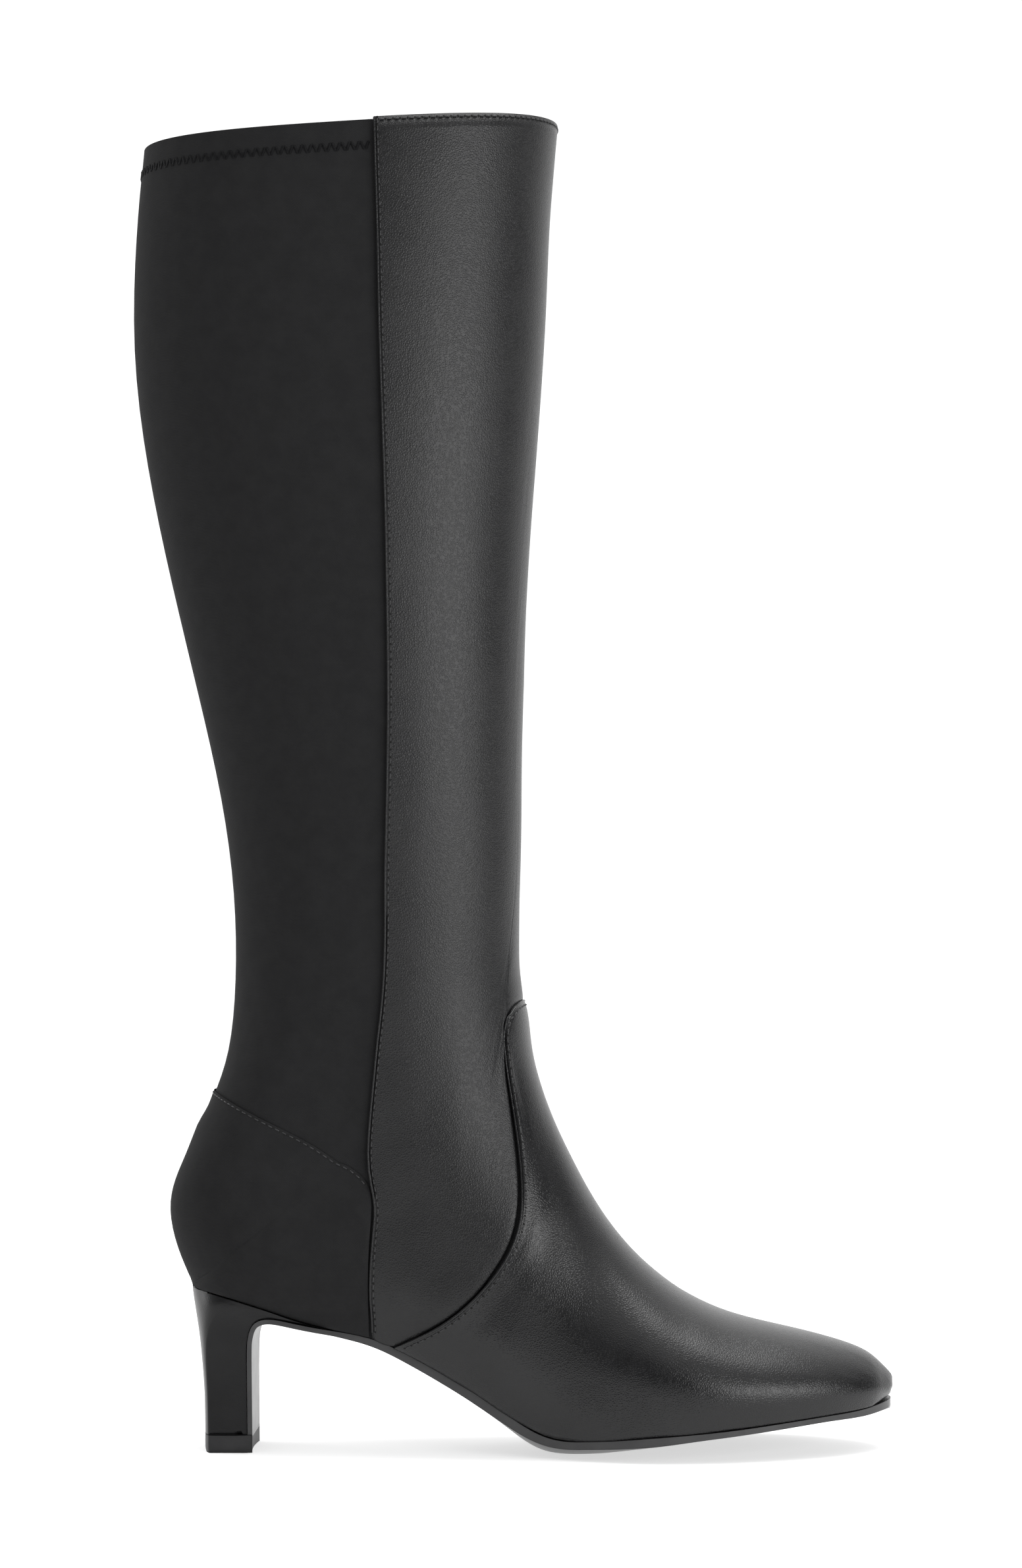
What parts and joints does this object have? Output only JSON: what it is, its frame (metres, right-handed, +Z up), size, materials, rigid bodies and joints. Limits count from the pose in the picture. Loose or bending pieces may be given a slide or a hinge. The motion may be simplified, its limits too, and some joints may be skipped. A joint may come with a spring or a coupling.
{
  "type": "knee-high boot",
  "caption": "Knee-high heeled boot with a leather front, a thick-edged vamp and a stretch fabric back on a slim block heel.",
  "frame": {"origin": "middle of the top lift's flat bottom, on the floor", "axes": "+X towards the toe, +Y towards the inner side of the foot, +Z up along the shaft"},
  "size_m": [0.2713, 0.1, 0.4701],
  "materials": {
    "leather": "satin, fine pebble grain",
    "stretch_fabric": "matte, fine weave",
    "heel_leather": "smooth satin",
    "sole_rubber": "semi-matte",
    "insole_sock": "matte"
  },
  "bodies": {
    "root": {"upper": "stretch_fabric", "counter": "stretch_fabric", "front_panel": "leather", "vamp": "leather", "heel": "heel_leather", "outsole": "sole_rubber", "top_lift": "sole_rubber", "insole": "insole_sock"}
  },
  "joints": []
}
